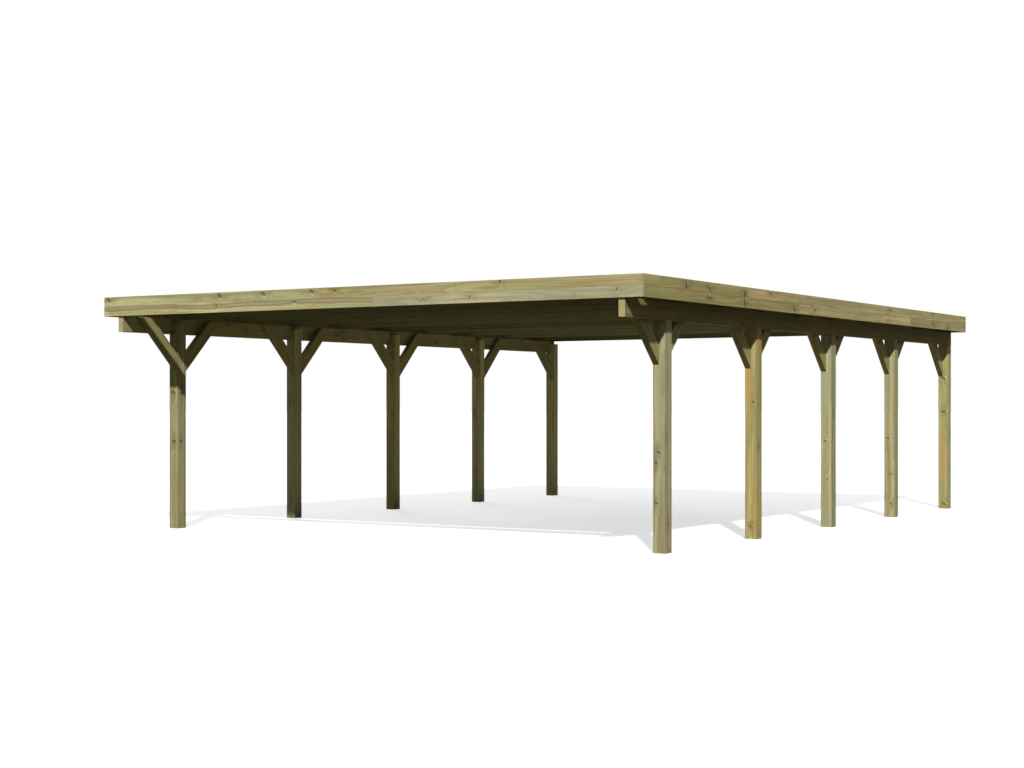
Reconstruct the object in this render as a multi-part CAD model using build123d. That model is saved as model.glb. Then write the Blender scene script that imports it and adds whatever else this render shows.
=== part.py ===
from build123d import *
import math
import os

"""A double carport of pressure-treated pine with a flat roof.

Ten posts stand in two rows of five. Each row carries a long beam, which is let
into the outer half of the post heads and held by knee braces. Rafters lie
across the two beams and carry trapezoidal steel sheets, and two rows of boards
close the edge of the roof all round.

Sizes are in millimetres. X runs across the carport, Y from the open front to
the back, Z up from the ground. The origin lies on the ground under the middle
of the roof.
"""

# The two rows of posts
posts_per_side = 5
post_spacing = 1865.0  # along a row, centre to centre
width_over_posts = 5700.0  # across, outer face to outer face
post_side = 120.0
post_ease = 4.0
tongue_height = 116.0  # inner half of the head, above the seat of the beam

# The long beams, each in two lengths that meet over a post
beam_underside = 1985.0
beam_height = 160.0
beam_thickness = 60.0
beam_ease = 3.0
joint_post = 3  # counted from the front
joint_gap = 4.0

# Knee braces
brace_angle = 45.0
brace_depth = 120.0
brace_thickness = 60.0
brace_foot_drop = 379.0  # lowest point, below the underside of the beam
brace_head_rise = 150.0  # level cut at the top, above the underside of the beam
brace_ease = 3.0

# Rafters
rafter_spacing = 880.0
rafter_width = 45.0
rafter_height = 120.0
rafter_ease = 2.5
pair_gap = 1.0  # between the two rafters that carry the front boards

# Boards round the edge of the roof
front_overhang = 736.0  # face of the front boards, ahead of the front posts
side_overhang = 176.0  # face of the side boards, outside the posts
board_thickness = 20.0
board_height = 95.0
board_ease = 1.5
board_drop = 4.0  # lower edge, below the rafters
board_gap = 1.5  # where two lengths meet end to end
front_joint_lower = 300.0  # to the right of the middle
front_joint_upper = -310.0
side_joints_lower = (3208.0, 6359.0)  # behind the front corner
side_joints_upper = (2021.0, 5220.0)

# Trapezoidal sheets
sheet_count = 6
ribs_per_sheet = 7
sheet_thickness = 1.5
rib_height = 20.0
rib_crown = 35.0
rib_foot = 62.0
lap_clearance = 0.5
sheet_side_gap = 6.0
sheet_front_gap = 195.0  # from the front boards, which leaves an open slot
sheet_back_gap = 25.0

# What follows from them
row_length = (posts_per_side - 1) * post_spacing + post_side
roof_length = front_overhang + row_length + board_thickness
roof_width = width_over_posts + 2 * side_overhang
front_face = -roof_length / 2
front_inner = front_face + board_thickness
back_face = roof_length / 2
back_inner = back_face - board_thickness
side_inner = roof_width / 2 - board_thickness
row_front = front_face + front_overhang
post_length = beam_underside + tongue_height
beam_top = beam_underside + beam_height
rafter_top = beam_top + rafter_height
board_bottom = beam_top - board_drop


def centre_of_post(number):
    """Place along Y of a post, counted from the front."""
    return row_front + post_side / 2 + (number - 1) * post_spacing


def timber(x_from, x_to, y_from, y_to, z_from, z_to, along, ease):
    """Sawn timber between six planes, with its four long edges eased."""
    size = (x_to - x_from, y_to - y_from, z_to - z_from)
    middle = Pos((x_from + x_to) / 2, (y_from + y_to) / 2, (z_from + z_to) / 2)
    length = Box(*size)
    return middle * chamfer(length.edges().filter_by(along), ease)


def post(side, number):
    """A post with the outer half of its head cut away as a seat for the beam."""
    outer = width_over_posts / 2
    y = centre_of_post(number)
    half = post_side / 2
    x_from, x_to = sorted((side * outer, side * (outer - post_side)))
    whole = timber(x_from, x_to, y - half, y + half, 0, post_length, Axis.Z, post_ease)
    seat = Box(2 * beam_thickness, 2 * post_side, 2 * tongue_height)
    return whole - Pos(side * outer, y, post_length) * seat


def beam(side, y_from, y_to):
    """One length of a long beam, flush with the outer faces of the posts."""
    outer = width_over_posts / 2
    x_from, x_to = sorted((side * outer, side * (outer - beam_thickness)))
    return timber(x_from, x_to, y_from, y_to, beam_underside, beam_top, Axis.Y, beam_ease)


def knee_brace(side, number, direction):
    """A brace from the face of a post up to the inner face of the beam.

    Its foot is cut plumb against the post and its head is cut level.
    """
    slope = math.tan(math.radians(brace_angle))
    plumb = brace_depth / math.cos(math.radians(brace_angle))
    face = centre_of_post(number) + direction * post_side / 2
    foot = beam_underside - brace_foot_drop
    head = beam_underside + brace_head_rise
    outline = Polyline(
        (face, foot),
        (face + direction * (head - foot) / slope, head),
        (face + direction * (head - foot - plumb) / slope, head),
        (face, foot + plumb),
        close=True,
    )
    lap = side * (width_over_posts / 2 - beam_thickness)
    plank = extrude(Plane.YZ.offset(lap) * make_face(outline), amount=-side * brace_thickness)
    grain = Vector(0, direction, slope).normalized()
    long_edges = [e for e in plank.edges() if abs(e.tangent_at(0.5).dot(grain)) > 0.999]
    return chamfer(long_edges, brace_ease)


def rafters():
    """Rafters from side boards to side boards: a pair behind the front boards,
    one before the back boards and the rest at even steps from the front."""
    places = [front_inner + rafter_width + pair_gap]
    y = front_inner
    while y < back_inner - 3 * rafter_width:
        places.append(y)
        y += rafter_spacing
    places.append(back_inner - rafter_width)
    return [
        timber(-side_inner, side_inner, y, y + rafter_width,
               beam_top, rafter_top, Axis.X, rafter_ease)
        for y in places
    ]


def cuts(start, joints, end):
    """Ends of each length in a row of boards, with a gap at every joint."""
    marks = [start - board_gap / 2, *joints, end + board_gap / 2]
    return [(a + board_gap / 2, b - board_gap / 2) for a, b in zip(marks, marks[1:])]


def cross_boards(y_from, row, joint):
    """A row of boards across the front or the back, over the ends of the side boards."""
    z = board_bottom + row * board_height
    return [
        timber(a, b, y_from, y_from + board_thickness, z, z + board_height, Axis.X, board_ease)
        for a, b in cuts(-roof_width / 2, [joint], roof_width / 2)
    ]


def side_boards(side, row, joints):
    """A row of boards along one side, nailed to the ends of the rafters."""
    z = board_bottom + row * board_height
    x_from, x_to = sorted((side * side_inner, side * roof_width / 2))
    places = [front_face + distance for distance in joints]
    return [
        timber(x_from, x_to, a, b, z, z + board_height, Axis.Y, board_ease)
        for a, b in cuts(front_inner, places, back_inner)
    ]


def sheet(number):
    """A ribbed sheet. Its first rib lies over the last rib of the sheet before."""
    cover = 2 * (side_inner - sheet_side_gap - rib_crown / 2) / sheet_count
    pitch = cover / ribs_per_sheet
    left = -side_inner + sheet_side_gap + rib_crown / 2 + number * cover
    low = rafter_top + sheet_thickness
    crown = low + rib_height
    lapped = crown + sheet_thickness + lap_clearance
    top = [(left - rib_crown / 2, lapped), (left + rib_crown / 2, lapped)]
    top.append((left + rib_foot / 2 + lap_clearance, low))
    for rib in range(1, ribs_per_sheet + 1):
        x = left + rib * pitch
        top += [(x - rib_foot / 2, low), (x - rib_crown / 2, crown), (x + rib_crown / 2, crown)]
        if rib < ribs_per_sheet:
            top.append((x + rib_foot / 2, low))
    under = [(x, z - sheet_thickness) for x, z in reversed(top)]
    start = front_inner + sheet_front_gap
    length = back_inner - sheet_back_gap - start
    section = Plane((0, start, 0), x_dir=(1, 0, 0), z_dir=(0, -1, 0))
    return extrude(section * make_face(Polyline(*top, *under, close=True)), amount=-length)


pieces = {}
for side, name in ((-1, "left"), (1, "right")):
    for number in range(1, posts_per_side + 1):
        pieces[f"post_{name}_{number}"] = [post(side, number)]
        pieces[f"knee_brace_{name}_{number}_front"] = [knee_brace(side, number, -1)]
        if number < posts_per_side:
            pieces[f"knee_brace_{name}_{number}_back"] = [knee_brace(side, number, 1)]
    joint = centre_of_post(joint_post)
    pieces[f"beam_{name}_front"] = [beam(side, front_inner, joint - joint_gap / 2)]
    pieces[f"beam_{name}_back"] = [beam(side, joint + joint_gap / 2, back_inner)]
    pieces[f"edge_boards_{name}_lower"] = side_boards(side, 0, side_joints_lower)
    pieces[f"edge_boards_{name}_upper"] = side_boards(side, 1, side_joints_upper)
pieces["edge_boards_front_lower"] = cross_boards(front_face, 0, front_joint_lower)
pieces["edge_boards_front_upper"] = cross_boards(front_face, 1, front_joint_upper)
pieces["edge_boards_back_lower"] = cross_boards(back_inner, 0, -front_joint_lower)
pieces["edge_boards_back_upper"] = cross_boards(back_inner, 1, -front_joint_upper)
pieces["rafters"] = rafters()
pieces["roof_sheets"] = [sheet(number) for number in range(sheet_count)]

os.makedirs("parts", exist_ok=True)
for name, solids in pieces.items():
    whole = Compound(children=solids) if len(solids) > 1 else solids[0]
    export_step(whole, f"parts/{name}.step")
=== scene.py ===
import math

import bpy
from mathutils import Euler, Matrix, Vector


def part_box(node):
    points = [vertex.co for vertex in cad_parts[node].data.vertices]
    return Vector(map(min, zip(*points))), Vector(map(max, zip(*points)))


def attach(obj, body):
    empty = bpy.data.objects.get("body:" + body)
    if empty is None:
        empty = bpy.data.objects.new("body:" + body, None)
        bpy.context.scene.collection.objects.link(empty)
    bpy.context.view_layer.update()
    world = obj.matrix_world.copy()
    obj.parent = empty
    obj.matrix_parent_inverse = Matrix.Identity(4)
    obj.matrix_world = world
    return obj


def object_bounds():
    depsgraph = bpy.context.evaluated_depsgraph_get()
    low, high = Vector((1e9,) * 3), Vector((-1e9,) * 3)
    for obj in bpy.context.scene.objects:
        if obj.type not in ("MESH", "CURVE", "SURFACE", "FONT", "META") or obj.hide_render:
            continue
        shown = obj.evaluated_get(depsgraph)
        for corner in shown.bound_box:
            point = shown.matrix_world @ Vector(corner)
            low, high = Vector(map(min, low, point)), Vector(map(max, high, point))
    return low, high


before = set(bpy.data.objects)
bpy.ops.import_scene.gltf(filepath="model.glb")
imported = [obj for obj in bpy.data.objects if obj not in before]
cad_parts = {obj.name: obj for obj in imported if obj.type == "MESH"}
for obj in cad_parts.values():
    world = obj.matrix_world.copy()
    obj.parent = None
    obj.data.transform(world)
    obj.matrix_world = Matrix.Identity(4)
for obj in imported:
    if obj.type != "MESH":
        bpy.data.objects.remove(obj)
cad_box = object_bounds()
bpy.ops.object.select_all(action="DESELECT")


# Posts: ten sticks of pressure-treated pine, planed square with eased edges, a
# little greenish from the salts, with knots and long drying checks. The outer
# half of each head is sawn away for the beam.
def fitting(tree, kind, **settings):
    piece = tree.nodes.new(kind)
    for name, value in settings.items():
        setattr(piece, name, value)
    return piece


def plug(tree, target, sources):
    """Links or sets the inputs of a node, by their names or numbers."""
    for slot, source in sources.items():
        if isinstance(source, bpy.types.NodeSocket):
            tree.links.new(source, target.inputs[slot])
        else:
            target.inputs[slot].default_value = source
    return target


def feed(tree, target, *sources):
    """Links or sets the first inputs of a node in turn. None leaves one alone."""
    given = {slot: source for slot, source in enumerate(sources) if source is not None}
    return plug(tree, target, given)


def maths(tree, operation, *sources):
    return feed(tree, fitting(tree, "ShaderNodeMath", operation=operation), *sources).outputs[0]


def plus(tree, first, second):
    return maths(tree, "ADD", first, second)


def less(tree, first, second):
    return maths(tree, "SUBTRACT", first, second)


def times(tree, first, second):
    return maths(tree, "MULTIPLY", first, second)


def arrow(tree, operation, *sources):
    made = feed(tree, fitting(tree, "ShaderNodeVectorMath", operation=operation), *sources)
    return made.outputs["Value" if operation == "LENGTH" else 0]


def axes(tree, source):
    return tuple(feed(tree, fitting(tree, "ShaderNodeSeparateXYZ"), source).outputs)


def from_axes(tree, x, y, z):
    return feed(tree, fitting(tree, "ShaderNodeCombineXYZ"), x, y, z).outputs[0]


def ease(tree, value, start, end, low=0.0, high=1.0):
    step = fitting(tree, "ShaderNodeMapRange", interpolation_type="SMOOTHSTEP")
    return feed(tree, step, value, start, end, low, high).outputs[0]


def blend_in(tree, share, under, over, how="MIX"):
    mix = fitting(tree, "ShaderNodeMix", data_type="RGBA", blend_type=how)
    factor, first_colour, second_colour, colour_out = 0, 6, 7, 2
    sources = {factor: share, first_colour: under, second_colour: over}
    return plug(tree, mix, sources).outputs[colour_out]


def cloud(tree, place, stretch, detail=2.0, rough=0.5):
    return plug(tree, fitting(tree, "ShaderNodeTexNoise"), {
        "Vector": arrow(tree, "MULTIPLY", place, stretch), "Scale": 1.0,
        "Detail": detail, "Roughness": rough})


def off_ball(tree, place, centre, lean, stretch, radius):
    """The distance from a place to a ball that is stretched and leans over."""
    turned = fitting(tree, "ShaderNodeMapping", vector_type="TEXTURE")
    feed(tree, turned, place, centre, (0.0, lean, 0.0), stretch)
    return less(tree, arrow(tree, "LENGTH", turned.outputs[0]), radius)


def new_finish(name):
    finish = bpy.data.materials.new(name)
    finish.use_nodes = True
    return finish, finish.node_tree


def coat_with(piece, finish):
    piece.data.materials.clear()
    piece.data.materials.append(finish)


# The grain of one stick. Place is measured from the middle of the stick, with Z
# along the grain. Marks, Flares and Gleams are distances to the knots that are
# listed one by one: to the knot, to the grain that it bends and to the pale wood by it.
early_wood, late_wood = (0.505, 0.462, 0.243, 1.0), (0.270, 0.226, 0.094, 1.0)
dark_streak, light_streak = (0.262, 0.225, 0.110, 1.0), (0.560, 0.490, 0.235, 1.0)
green_cast, warm_patch = (0.315, 0.320, 0.175, 1.0), (0.460, 0.315, 0.100, 1.0)
even_wood, heartwood = (0.350, 0.310, 0.150, 1.0), (0.215, 0.170, 0.100, 1.0)
open_check, bent_grain = (0.080, 0.062, 0.028, 1.0), (0.225, 0.195, 0.085, 1.0)
pale_by_knot, knot_core = (0.620, 0.560, 0.320, 1.0), (0.110, 0.078, 0.035, 1.0)
# Next line: dirt and painted shade for the eased edges, and painted shade for faces that look down
edge_dirt_and_shade, painted_underside_shade = (0.100, 0.085, 0.042, 1.0), (0.12, 0.12, 0.10, 1.0)
sawn_early, sawn_late = (0.475, 0.395, 0.205, 1.0), (0.350, 0.275, 0.130, 1.0)
black = (0.0, 0.0, 0.0, 1.0)
knot_stretch, flare_stretch = (1.9, 1.5, 1.0), (1.2, 1.2, 3.2)

pine_grain = bpy.data.node_groups.new("pine grain", "ShaderNodeTree")
for way, kind, names in (
        ("INPUT", "Vector", "Place Facing Pith"),
        ("INPUT", "Float", "Stick Warmth"),
        ("INPUT", "Color", "Tint"),
        ("INPUT", "Float", "Heart Knottiness Edges Marks Flares Gleams Calm"),
        ("OUTPUT", "Color", "Color"),
        ("OUTPUT", "Float", "Roughness Height")):
    for name in names.split():
        pine_grain.interface.new_socket(name, in_out=way, socket_type="NodeSocket" + kind)

g = pine_grain
(place, facing, pith, stick, warmth, tint, heart, knottiness, edges,
 marks, flares, gleams, calm) = fitting(g, "NodeGroupInput").outputs[:13]
own = arrow(g, "ADD", place, from_axes(g, *(times(g, stick, far) for far in (3.7, 5.1, 7.3))))

# Knots: balls scattered in the stick, cut by its faces
cells_per_metre = (8.5, 8.5, 2.9)
smallest_knot, knot_range = 0.001, 0.014
in_cells = arrow(g, "MULTIPLY", own, cells_per_metre)
cells = plug(g, fitting(g, "ShaderNodeTexVoronoi", feature="F1"),
             {"Vector": in_cells, "Scale": 1.0})
off_knot = arrow(g, "SUBTRACT", in_cells, cells.outputs["Position"])
off_knot = arrow(g, "DIVIDE", off_knot, cells_per_metre)
chance = feed(g, fitting(g, "ShaderNodeSeparateColor"), cells.outputs["Color"]).outputs[0]
size = times(g, plus(g, times(g, chance, knot_range), smallest_knot), knottiness)
near_knot, near_flare = (
    maths(g, "MINIMUM", off_ball(g, off_knot, None, lean, stretch, size), set_by_hand)
    for lean, stretch, set_by_hand in ((0.6, knot_stretch, marks), (0.0, flare_stretch, flares)))
tatter = less(g, cloud(g, own, (62.0, 62.0, 34.0)).outputs[0], 0.5)
knot = ease(g, plus(g, near_knot, times(g, tatter, 0.016)), 0.0025, -0.0035)
swell = ease(g, plus(g, near_flare, times(g, tatter, 0.030)), 0.034, -0.004)
gleam = ease(g, plus(g, gleams, times(g, tatter, 0.022)), 0.004, -0.003)

# Year rings round a pith that wanders, pushed out by the knots
wander = cloud(g, own, (1.3, 1.3, 0.7), 1.0).outputs["Color"]
wander = arrow(g, "MULTIPLY", arrow(g, "SUBTRACT", wander, (0.5, 0.5, 0.5)), (0.09, 0.09, 0.0))
bent = arrow(g, "ADD", arrow(g, "SUBTRACT", place, pith), wander)
radius = arrow(g, "LENGTH", arrow(g, "MULTIPLY", bent, (1.0, 1.0, 0.0)))
radius = plus(g, radius, times(g, swell, 0.013))
wide, fine = (
    plug(g, fitting(g, "ShaderNodeTexNoise", noise_dimensions="1D"), {
        "W": plus(g, radius, times(g, stick, 0.37)), "Scale": pitch, "Detail": detail}).outputs[0]
    for pitch, detail in ((42.0, 1.0), (240.0, 2.0)))
fibre = cloud(g, own, (140.0, 140.0, 2.2), 3.0, 0.6).outputs[0]
drift = cloud(g, own, (5.0, 5.0, 1.1)).outputs[0]
patch = cloud(g, own, (20.0, 20.0, 1.5)).outputs[0]
streak = cloud(g, own, (38.0, 38.0, 0.9)).outputs[0]
late = plus(g, times(g, ease(g, wide, 0.40, 0.62), 0.70), times(g, ease(g, fine, 0.42, 0.66), 0.30))
late = times(g, late, ease(g, fibre, 0.15, 0.75, 0.55, 1.1))

# Heartwood: a brown-grey band that runs along the stick with paler wood in it
run = arrow(g, "MULTIPLY", own, (0.0, 0.0, 1.0))
line = times(g, less(g, cloud(g, run, (1.0, 1.0, 0.75), 1.0).outputs[0], 0.5), 0.085)
breadth = times(g, cloud(g, run, (1.0, 1.0, 1.6), 1.0).outputs[0], 0.046)
aside = maths(g, "ABSOLUTE", less(g, plus(g, axes(g, place)[0], 0.022), line))
aside = plus(g, aside, times(g, less(g, fibre, 0.5), 0.012))
aside = maths(g, "DIVIDE", aside, breadth)
band = times(g, ease(g, aside, 1.25, 0.75), ease(g, aside, 0.10, 0.55, 0.60, 1.0))

# Long thin drying checks, and the eased edges: dirt there, and painted shade so they show no bright
# line
split = cloud(g, own, (34.0, 34.0, 0.75), 2.0, 0.4).outputs[0]
check = ease(g, maths(g, "ABSOLUTE", less(g, split, 0.66)), 0.006, 0.0)
facing_x, facing_y, facing_z = (maths(g, "ABSOLUTE", part) for part in axes(g, facing))
arris = ease(g, maths(g, "MINIMUM", facing_x, facing_y), 0.35, 0.60)

colour = blend_in(g, late, early_wood, late_wood)
for share, shade in (
        (times(g, ease(g, streak, 0.52, 0.66), 0.55), dark_streak),
        (times(g, ease(g, streak, 0.44, 0.32), 0.45), light_streak),
        (times(g, ease(g, drift, 0.42, 0.64), 0.45), green_cast),
        (times(g, ease(g, patch, 0.46, 0.66), plus(g, warmth, 0.12)), warm_patch),
        (calm, even_wood),
        (times(g, band, heart), heartwood),
        (times(g, check, 0.6), open_check),
        (times(g, swell, 0.42), bent_grain),
        (times(g, gleam, 0.48), pale_by_knot),
        (times(g, knot, 0.80), knot_core),
        # the eased edges: dirt, and painted shade
        (times(g, arris, edges), edge_dirt_and_shade)):
    colour = blend_in(g, share, colour, shade)

# Sawn ends show the rings and take in more of the salts
sawn = ease(g, facing_z, 0.60, 0.85)
sawn_wood = blend_in(g, ease(g, fine, 0.40, 0.65), sawn_early, sawn_late)
colour = blend_in(g, sawn, blend_in(g, 1.0, colour, tint, "MULTIPLY"), sawn_wood)

height = less(g, plus(g, times(g, fibre, 0.5), times(g, late, 0.35)), check)
height = plus(g, height, times(g, knot, 0.25))
rough = plus(g, times(g, late, -0.10), 0.88)
feed(g, fitting(g, "NodeGroupOutput"), colour, rough, height)


def dress_in_pine(node, turn, stick, tone, pith, knottiness=0.8, edges=0.40, calm=0.0,
                  underside_shade=0.0, side_shade=0.0, gloss=0.08, breaks=(), row_step=0.0, knots=(),
                  middle=None):
    """Pine for one CAD piece. turn brings its grain upright, and stick is a number
    of its own that moves the grain. tone is the stick's warmth, tint and heartwood,
    and breaks are the places where the next stick begins, with its tone. calm evens
    the grain out, underside_shade paints shade on what looks down and side_shade
    paints shade on what looks left or right. row_step is the spacing of a row of like
    sticks, and middle is the middle of its first. knots are (place, radius, lean) in
    the carport's frame."""
    finish, tree = new_finish("pine " + node.replace("_", " "))
    low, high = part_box(node)
    centre = Vector(middle) if middle else (Vector(low) + Vector(high)) / 2
    upright = Euler(turn, "XYZ").to_matrix()
    seen = fitting(tree, "ShaderNodeTexCoord").outputs
    spot = fitting(tree, "ShaderNodeMapping", vector_type="POINT")
    feed(tree, spot, seen["Object"], -(upright @ centre), turn)
    normal = fitting(tree, "ShaderNodeMapping", vector_type="VECTOR")
    feed(tree, normal, seen["Normal"], None, turn)
    place, seed = spot.outputs[0], stick
    warmth, tint, heart = tone
    tint = (*tint, 1.0)
    if row_step:
        x, y, z = axes(tree, place)
        lane = maths(tree, "ROUND", maths(tree, "DIVIDE", y, row_step))
        place = from_axes(tree, x, less(tree, y, times(tree, lane, row_step)), z)
        seed = plus(tree, times(tree, lane, 1.73), stick)
        toss = fitting(tree, "ShaderNodeTexWhiteNoise", noise_dimensions="1D")
        plug(tree, toss, {"W": seed})
        duller = ease(tree, toss.outputs[0], 0.0, 1.0, 0.0, 0.45)
        tint = blend_in(tree, duller, tint, black)
    if breaks:
        along = axes(tree, place)[2]
        before = tone
        for number, (mark, after) in enumerate(breaks):
            past = maths(tree, "GREATER_THAN", along, mark)
            seed = plus(tree, times(tree, past, 2.31 + number), seed)
            warmth = plus(tree, times(tree, past, after[0] - before[0]), warmth)
            heart = plus(tree, times(tree, past, after[2] - before[2]), heart)
            tint = blend_in(tree, past, tint, (*after[1], 1.0))
            before = after
    # Painted shade on the faces that look down
    if underside_shade:
        below = ease(tree, axes(tree, seen["Normal"])[2], -0.35, -0.65, 0.0, underside_shade)
        tint = blend_in(tree, below, tint, painted_underside_shade)
    # Painted shade on the faces that look left or right
    if side_shade:
        sideways = maths(tree, "ABSOLUTE", axes(tree, seen["Normal"])[0])
        tint = blend_in(tree, ease(tree, sideways, 0.45, 0.85, 0.0, side_shade), tint, black)
    nearest = [1.0, 1.0, 1.0]
    for where, radius, lean in knots:
        core = upright @ (Vector(where) - centre)
        beside = core + radius * Vector((1.3, 0.0, 0.5))
        balls = ((core, lean, (2.0, 1.6, 1.0)), (core, 0.0, flare_stretch),
                 (beside, lean, (1.7, 1.5, 1.0)))
        for kind, (middle_of_ball, angle, stretch) in enumerate(balls):
            reach = off_ball(tree, spot.outputs[0], middle_of_ball, math.radians(angle),
                             stretch, radius)
            nearest[kind] = maths(tree, "MINIMUM", reach, nearest[kind])
    grain = fitting(tree, "ShaderNodeGroup", node_tree=pine_grain)
    feed(tree, grain, place, normal.outputs[0], pith, seed, warmth, tint, heart, knottiness,
         edges, *nearest, calm)
    relief = plug(tree, fitting(tree, "ShaderNodeBump"), {
        "Strength": 0.45, "Distance": 0.0012, "Height": grain.outputs["Height"]})
    plug(tree, tree.nodes["Principled BSDF"], {
        "Base Color": grain.outputs["Color"], "Roughness": grain.outputs["Roughness"],
        "Normal": relief.outputs[0], "Specular IOR Level": gloss})
    coat_with(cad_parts[node], finish)


sides = (("left", -1), ("right", 1))
post_numbers = range(1, 6)  # from the front to the back
standing = (0.0, 0.0, 0.0)
post_tones = {
    "left": ((0.1, (0.84, 0.86, 0.90), 0.0), (0.05, (1.05, 1.13, 1.28), 0.0),
             (0.2, (1.12, 1.12, 1.08), 0.0), (0.1, (1.26, 1.32, 1.50), 0.0),
             (0.2, (1.32, 1.33, 1.32), 0.0)),
    "right": ((0.1, (0.86, 0.88, 0.98), 0.0), (0.6, (1.13, 1.09, 0.94), 0.0),
              (0.1, (1.14, 1.20, 1.37), 0.0), (0.1, (1.04, 1.08, 1.17), 0.0),
              (0.5, (1.07, 1.11, 1.06), 0.0)),
}
# Painted shade on the left and right faces of these posts, by how much
painted_side_shades = {"post_right_2": 0.18, "post_right_3": 0.34, "post_right_4": 0.15}
post_seeds = {"left": 0.4, "right": 9.1}
post_knots = {
    "post_left_1": (((-2.799, -3.432, 1.396), 0.019, 5), ((-2.730, -3.373, 1.384), 0.018, 30),
                    ((-2.785, -3.432, 0.893), 0.016, 0), ((-2.730, -3.388, 0.893), 0.014, 0)),
    "post_left_4": (((-2.790, 2.163, 1.150), 0.009, 10),),
    "post_right_1": (((2.787, -3.432, 0.864), 0.011, 20), ((2.765, -3.432, 0.430), 0.009, -10),
                     ((2.850, -3.380, 0.250), 0.008, 0)),
    "post_right_2": (((2.819, -1.567, 1.296), 0.011, -18), ((2.850, -1.519, 0.872), 0.010, 10),
                     ((2.795, -1.567, 0.120), 0.009, 15)),
    "post_right_3": (((2.780, 0.298, 0.891), 0.011, 15), ((2.850, 0.352, 1.181), 0.010, 0),
                     ((2.806, 0.298, 0.494), 0.008, 35)),
    "post_right_4": (((2.778, 2.163, 0.889), 0.011, -10), ((2.810, 2.163, 0.489), 0.009, 20),
                     ((2.812, 2.163, 0.152), 0.009, 0)),
    "post_right_5": (((2.790, 4.028, 1.590), 0.017, 20), ((2.801, 4.028, 1.181), 0.016, -10),
                     ((2.850, 4.090, 0.905), 0.011, 0), ((2.805, 4.028, 0.060), 0.014, 25),
                     ((2.850, 4.075, 0.518), 0.009, 10)),
}
for side, _ in sides:
    for step, (number, tone) in enumerate(zip(post_numbers, post_tones[side])):
        node = f"post_{side}_{number}"
        dress_in_pine(node, standing, 1.3 * step + post_seeds[side], tone,
                      (0.03 - 0.02 * step, 0.05, 0.0), knottiness=0.7,
                      side_shade=painted_side_shades.get(node, 0.0), knots=post_knots.get(node, ()))


# Beams: deep planed pine, two lengths a side, set into the heads of the posts.
# They meet end to end over the middle post.
ends = (("front", -1), ("back", 1))
lying_back = (math.radians(90), 0.0, 0.0)
beam_tones = {"left": (0.3, (0.82, 0.84, 0.88), 0.0), "right": (0.3, (0.54, 0.51, 0.44), 0.0)}
beams = [(side, f"beam_{side}_{end}") for side, _ in sides for end, _ in ends]
# The beams' faces that look down get painted shade
for number, (side, node) in enumerate(beams):
    dress_in_pine(node, lying_back, 21.0 + 2.7 * number, beam_tones[side], (0.08, 0.02, 0.0),
                  knottiness=1.1, underside_shade=0.5)


# Knee braces: short lengths of the post timber at 45 degrees, sawn plumb where
# they meet the post and level at the top, lapped on the inner face of the beam.
brace_tone = (0.15, (0.82, 0.81, 0.76), 0.0)
brace_seeds = {"left": 0.0, "right": 17.0}
for side, _ in sides:
    for number in post_numbers:
        for end, way in ends:
            node = f"knee_brace_{side}_{number}_{end}"
            tilt = 45 * way
            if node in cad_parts:
                seed = 40.0 + 3.1 * number + brace_seeds[side] + tilt / 50
                dress_in_pine(node, (math.radians(tilt), 0.0, 0.0), seed, brace_tone,
                              (0.07, 0.04, 0.0), calm=0.35)


# Rafters: sawn joists on edge across both beams, 0.88 m apart, with a second one
# beside the first.
lying_across = (0.0, math.radians(-90), 0.0)
rafter_width, rafter_step = 0.045, 0.88
low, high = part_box("rafters")
first_rafter = (0.0, low[1] + rafter_width / 2, (low[2] + high[2]) / 2)
# The rafters' faces that look down get painted shade
dress_in_pine("rafters", lying_across, 71.0, (0.1, (0.95, 1.07, 1.22), 0.0), (0.05, 0.06, 0.0),
              knottiness=0.5, calm=0.85, underside_shade=0.7, gloss=0.0, row_step=rafter_step,
              middle=first_rafter)


# Edge boards: two rows of planed board round the roof, butted end to end and
# screwed to the rafters. The lengths differ in tone where one ends.
lying_back_flat = (math.radians(90), 0.0, math.radians(90))
olive = (0.15, (0.85, 0.82, 0.73), 0.0)
tan = (0.35, (1.00, 0.95, 0.95), 0.0)
green = (0.05, (0.98, 1.00, 1.00), 0.0)
plain = (0.2, (0.98, 0.96, 0.94), 0.0)
pale = (0.0, (1.06, 1.09, 1.30), 0.1)
straw = (0.2, (0.90, 0.86, 0.82), 0.0)
hearty = (0.12, (1.19, 1.24, 1.24), 0.95)
hearty_tan = (0.1, (1.0, 0.97, 0.88), 0.7)
grey = (0.1, (0.84, 0.84, 0.86), 0.0)
boards = {
    "edge_boards_front_upper": (lying_across, 80.4, green, ((-0.310, straw),)),
    "edge_boards_front_lower": (lying_across, 83.2, hearty, ((0.300, pale),)),
    "edge_boards_back_upper": (lying_across, 86.9, plain, ((0.310, tan),)),
    "edge_boards_back_lower": (lying_across, 88.5, green, ((-0.300, hearty_tan),)),
    "edge_boards_right_upper": (lying_back_flat, 91.7, olive, ((-2.147, tan), (1.052, tan))),
    "edge_boards_right_lower": (lying_back_flat, 94.3, olive, ((-0.960, tan), (2.191, grey))),
    "edge_boards_left_upper": (lying_back_flat, 97.1, tan, ((-2.147, green), (1.052, plain))),
    "edge_boards_left_lower": (lying_back_flat, 99.8, plain, ((-0.960, tan), (2.191, green))),
}
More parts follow.
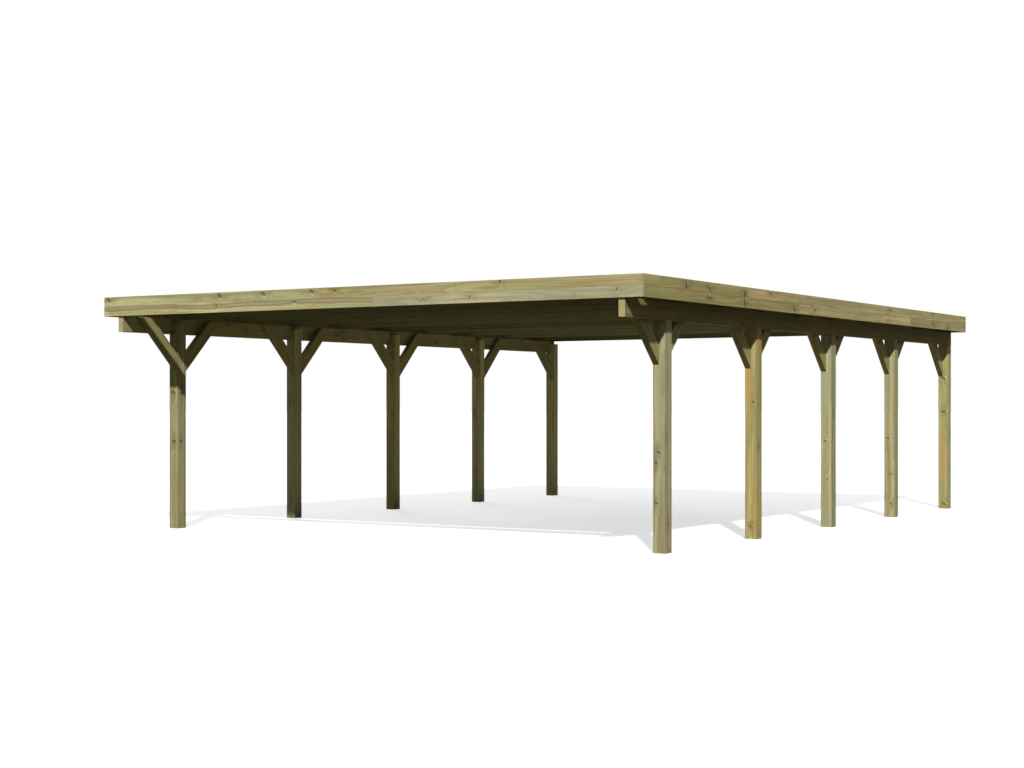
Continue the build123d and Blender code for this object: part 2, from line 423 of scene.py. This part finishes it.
board_knots = {
    "edge_boards_front_upper": (
        ((-2.966, -4.168, 2.303), 0.017, -45), ((-1.507, -4.168, 2.298), 0.017, -48),
        ((-0.970, -4.168, 2.298), 0.016, -48), ((-0.395, -4.168, 2.301), 0.017, -60),
        ((-0.129, -4.168, 2.300), 0.012, -70), ((1.653, -4.168, 2.312), 0.010, -50)),
    "edge_boards_front_lower": (
        ((-1.543, -4.168, 2.200), 0.013, -15), ((-0.599, -4.168, 2.211), 0.012, -80),
        ((0.852, -4.168, 2.186), 0.007, 0), ((1.346, -4.168, 2.193), 0.008, 0),
        ((2.786, -4.168, 2.210), 0.009, 25)),
    "edge_boards_right_upper": (
        ((3.026, -3.386, 2.286), 0.018, 5), ((3.026, -2.965, 2.290), 0.012, 35),
        ((3.026, -2.925, 2.272), 0.012, -35), ((3.026, -2.210, 2.270), 0.020, -10),
        ((3.026, -1.640, 2.300), 0.013, 65), ((3.026, 1.536, 2.290), 0.014, 60)),
    "edge_boards_right_lower": (
        ((3.026, -2.965, 2.205), 0.012, 40), ((3.026, -2.925, 2.192), 0.013, -40),
        ((3.026, -2.210, 2.192), 0.021, 25), ((3.026, -1.082, 2.190), 0.018, 10),
        ((3.026, -0.573, 2.200), 0.014, 60), ((3.026, 2.992, 2.190), 0.020, 10),
        ((3.026, 3.496, 2.186), 0.020, -10)),
}
for node, (turn, seed, tone, breaks) in boards.items():
    dress_in_pine(node, turn, seed, tone, (0.03, 0.07, 0.0), knottiness=0.5, edges=0.1,
                  breaks=breaks, knots=board_knots.get(node, ()))


# Roof sheets: trapezoidal steel with a dull grey coat, rib beside rib from the
# front to the back, hidden behind the boards from below.
clean_coat, dusty_coat = (0.150, 0.155, 0.155, 1.0), (0.205, 0.205, 0.190, 1.0)
spotted_coat = (0.110, 0.112, 0.108, 1.0)
coat, tree = new_finish("grey coated sheet")
seen = fitting(tree, "ShaderNodeTexCoord").outputs
dust = cloud(tree, seen["Object"], (3.0, 0.8, 3.0), 4.0, 0.6).outputs[0]
spots = cloud(tree, seen["Object"], (60.0, 60.0, 60.0)).outputs[0]
colour = blend_in(tree, ease(tree, dust, 0.35, 0.70), clean_coat, dusty_coat)
colour = blend_in(tree, ease(tree, spots, 0.55, 0.75, 0.0, 0.25), colour, spotted_coat)
plug(tree, tree.nodes["Principled BSDF"], {
    "Base Color": colour, "Roughness": ease(tree, dust, 0.30, 0.75, 0.58, 0.78),
    "Specular IOR Level": 0.25})
coat_with(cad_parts["roof_sheets"], coat)


# Beam screws: two from outside through the beam into the tongue of each post.
# They are yellow-zinc steel gone dull, with small countersunk heads that hardly
# show from a distance.
plated, stained = (0.310, 0.262, 0.135, 1.0), (0.190, 0.152, 0.074, 1.0)
zinc, tree = new_finish("dull yellow zinc")
seen = fitting(tree, "ShaderNodeTexCoord").outputs
stain = cloud(tree, seen["Object"], (90.0, 90.0, 90.0), 3.0, 0.6).outputs[0]
plug(tree, tree.nodes["Principled BSDF"], {
    "Base Color": blend_in(tree, ease(tree, stain, 0.40, 0.65), plated, stained),
    "Roughness": ease(tree, stain, 0.35, 0.65, 0.58, 0.80),
    "Metallic": 0.25, "Specular IOR Level": 0.15})


def turned_piece(name, radius, profile, corners=12, sunk=0.0):
    """A head or washer on the XY plane, or sunk below it: a disc drawn out through
    (radius, height) steps, closed at the top and the bottom."""
    bpy.ops.object.select_all(action="DESELECT")
    bpy.ops.mesh.primitive_circle_add(vertices=corners, radius=radius, fill_type="NGON")
    piece = bpy.context.object
    piece.name = name
    bpy.ops.object.mode_set(mode="EDIT")
    bpy.ops.mesh.select_all(action="SELECT")
    reached, lift = radius, 0.0
    for wide, high in profile:
        upward = {"value": (0.0, 0.0, high - lift)}
        bpy.ops.mesh.extrude_region_move(TRANSFORM_OT_translate=upward)
        bpy.ops.transform.resize(value=(wide / reached, wide / reached, 1.0))
        reached, lift = wide, high
    bpy.ops.mesh.select_all(action="SELECT")
    bpy.ops.transform.translate(value=(0.0, 0.0, -sunk))
    bpy.ops.mesh.normals_make_consistent(inside=False)
    bpy.ops.object.mode_set(mode="OBJECT")
    return piece


def countersunk_head(name, radius, deep, proud):
    """A flat head with its cone in the wood and a shallow recess for the driver."""
    stem, rim, recess = 0.45 * radius, deep + proud, deep + 0.2 * proud
    profile = ((radius, deep), (0.95 * radius, rim), (stem, rim), (0.36 * radius, recess))
    return turned_piece(name, stem, profile, sunk=deep)


def joined_piece(name, parts):
    bpy.ops.object.select_all(action="DESELECT")
    for part in parts:
        part.select_set(True)
    bpy.context.view_layer.objects.active = parts[0]
    bpy.ops.object.join()
    piece = bpy.context.object
    piece.name = name
    bpy.ops.object.transform_apply(location=True, rotation=True, scale=True)
    return piece


def facing_along(direction):
    return Vector(direction).to_track_quat("Z", "Y").to_euler()


def set_out(name, model, places):
    """One copy of the model for each (place, direction), joined into a piece."""
    copies = []
    for place, direction in places:
        copy = model.copy()
        copy.data = model.data.copy()
        copy.location = place
        copy.rotation_euler = facing_along(direction)
        bpy.context.collection.objects.link(copy)
        copies.append(copy)
    bpy.data.objects.remove(model)
    bpy.context.view_layer.update()
    piece = joined_piece(name, copies)
    coat_with(piece, zinc)
    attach(piece, "root")


places = []
for side, outward in sides:
    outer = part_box(f"beam_{side}_front")[0 if outward < 0 else 1][0]
    for number in post_numbers:
        low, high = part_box(f"post_{side}_{number}")
        middle = (low[1] + high[1]) / 2
        for along, drop in ((-0.030, 0.088), (0.030, 0.036)):
            places.append(((outer, middle + along, high[2] - drop), (outward, 0, 0)))
set_out("beam_screws", countersunk_head("beam screw", 0.0075, 0.0050, 0.0006), places)


# Brace screws: two through the head of each brace into the beam and two up
# through its foot into the post, smaller than the beam's.
places = []
for side, outward in sides:
    for number in post_numbers:
        for end, way in ends:
            node = f"knee_brace_{side}_{number}_{end}"
            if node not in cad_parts:
                continue
            low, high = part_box(node)
            foot = high[1] if way < 0 else low[1]
            inner = low[0] if outward > 0 else high[0]
            for drop, inset in ((0.105, 0.035), (0.050, 0.110)):
                z = high[2] - drop
                y = foot + way * (z - low[2]) - way * inset
                places.append(((inner, y, z), (-outward, 0, 0)))
            for along, aside in ((0.045, -0.012), (0.085, 0.012)):
                x = (low[0] + high[0]) / 2 + aside
                places.append(((x, foot + way * along, low[2] + along), (0, way, -1)))
set_out("brace_screws", countersunk_head("brace screw", 0.0055, 0.0035, 0.0005), places)


# Board screws: small flat heads, a pair in each side board at every rafter end,
# and pairs along the front and back boards.
screw_heights = (0.024, 0.071)  # above the lower edge of a board
front_screw_step, front_screw_shift = 0.588, 0.02
low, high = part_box("rafters")
rafter_middles = [low[1] + rafter_width / 2 + rafter_step * step for step in range(10)]
rafter_middles.append(high[1] - rafter_width / 2)
rows = (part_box("edge_boards_front_lower")[0][2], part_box("edge_boards_front_upper")[0][2])
box_low, box_high = cad_box
places = []
for row in rows:
    for up in screw_heights:
        for y in rafter_middles:
            for way, face in ((-1, box_low[0]), (1, box_high[0])):
                places.append(((face, y, row + up), (way, 0, 0)))
        for step in range(-5, 6):
            x = front_screw_step * step + front_screw_shift
            for way, face in ((-1, box_low[1]), (1, box_high[1])):
                places.append(((x, face, row + up), (0, way, 0)))
set_out("board_screws", countersunk_head("board screw", 0.0038, 0.0025, 0.00004), places)


# Roof screws: hexagon heads on a broad washer, through every third rib of the
# sheets into each rafter.
flange = turned_piece("flange", 0.0095, ((0.0095, 0.0012), (0.0075, 0.0022)), corners=14)
hexagon = turned_piece("hexagon", 0.0046, ((0.0046, 0.0045), (0.0040, 0.0052)), corners=6)
hexagon.location = (0.0, 0.0, 0.0020)
roof_screw = joined_piece("roof screw", [flange, hexagon])
rib_crown, lap_rise = 0.035, 0.002
last_rib, ribs_per_sheet = 42, 7
low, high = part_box("roof_sheets")
rib_step = (high[0] - low[0] - rib_crown) / last_rib
places = []
for rib in range(0, last_rib + 1, 3):
    x = low[0] + rib_crown / 2 + rib * rib_step
    on_lap = rib % ribs_per_sheet == 0 and rib < last_rib
    top = high[2] if on_lap else high[2] - lap_rise
    for y in rafter_middles[1:]:
        places.append(((x, y, top), (0, 0, 1)))
set_out("roof_screws", roof_screw, places)


# The floor: a wide pale sheet. It looks white to the camera and keeps a light
# shadow, and it throws little light back up under the roof.
def seen_or_felt(tree, seen, felt):
    """One shader for what is seen, and another for the light that is thrown."""
    path = fitting(tree, "ShaderNodeLightPath").outputs
    mirrored = maths(tree, "MAXIMUM", path["Is Glossy Ray"], path["Is Transmission Ray"])
    shown = maths(tree, "MAXIMUM", path["Is Camera Ray"], mirrored)
    return feed(tree, fitting(tree, "ShaderNodeMixShader"), shown, felt, seen).outputs[0]


white = (1.0, 1.0, 1.0, 1.0)
bpy.ops.mesh.primitive_plane_add(size=400.0, location=(0.0, 0.0, 0.0))
floor = bpy.context.object
floor.name = "floor"
floor_paint, tree = new_finish("pale floor")
tree.nodes.remove(tree.nodes["Principled BSDF"])
lit, dull = (
    plug(tree, fitting(tree, "ShaderNodeBsdfDiffuse"), {"Color": shade}).outputs[0]
    for shade in ((0.42, 0.42, 0.42, 1.0), (0.075, 0.068, 0.040, 1.0)))
glow = plug(tree, fitting(tree, "ShaderNodeEmission"), {"Color": white, "Strength": 0.66})
look = feed(tree, fitting(tree, "ShaderNodeAddShader"), lit, glow.outputs[0]).outputs[0]
plug(tree, tree.nodes["Material Output"], {"Surface": seen_or_felt(tree, look, dull)})
coat_with(floor, floor_paint)

# Light: a pale surround that is weaker near the ground
world = bpy.data.worlds.new("surround")
bpy.context.scene.world = world
world.use_nodes = True
tree = world.node_tree
back = plug(tree, tree.nodes["Background"], {"Color": white, "Strength": 1.0})
upward = axes(tree, fitting(tree, "ShaderNodeTexCoord").outputs["Generated"])[2]
fill = plug(tree, fitting(tree, "ShaderNodeBackground"), {
    "Color": (0.93, 0.98, 1.0, 1.0), "Strength": ease(tree, upward, 0.0, 0.8, 0.085, 0.45)})
plug(tree, tree.nodes["World Output"], {
    "Surface": seen_or_felt(tree, back.outputs[0], fill.outputs[0])})

# The sun from the front right, and a wide weak light from behind on the sides
# that the sun leaves dark
for name, energy, spread, colour, direction in (
        ("sun", 4.1, 1.6, (1.0, 0.985, 0.95), (0.667, -1.05, 1.0)),
        ("rear light", 1.8, 25, (1.0, 1.0, 1.0), (-0.8, 0.7, 0.5))):
    light = bpy.data.lights.new(name, "SUN")
    light.energy = energy
    light.angle = math.radians(spread)
    light.color = colour
    lamp = bpy.data.objects.new(name, light)
    lamp.rotation_euler = facing_along(direction)
    bpy.context.collection.objects.link(lamp)

# Light thrown back up by the ground under the roof, warm and weak
bounce = bpy.data.lights.new("bounce", "AREA")
bounce.shape = "RECTANGLE"
bounce.size, bounce.size_y = 4.8, 6.8
bounce.energy = 36.0
bounce.color = (1.0, 0.93, 0.62)
card = bpy.data.objects.new("bounce", bounce)
card.location = (0.0, 0.7, 0.02)
card.rotation_euler = (math.radians(180), 0.0, 0.0)
card.visible_camera = False
bpy.context.collection.objects.link(card)

# Camera: at eye height, off the front right corner
eye = bpy.data.cameras.new("camera")
eye.sensor_width = 36.0
eye.lens = 60.78
eye.shift_y = 0.01896
eye.clip_end = 500.0
camera = bpy.data.objects.new("camera", eye)
camera.location = (9.5973, -16.5369, 1.2776)
camera.rotation_euler = (math.radians(90), 0.0, 0.564)
bpy.context.collection.objects.link(camera)
bpy.context.scene.camera = camera
bpy.context.scene.view_settings.view_transform = "Standard"
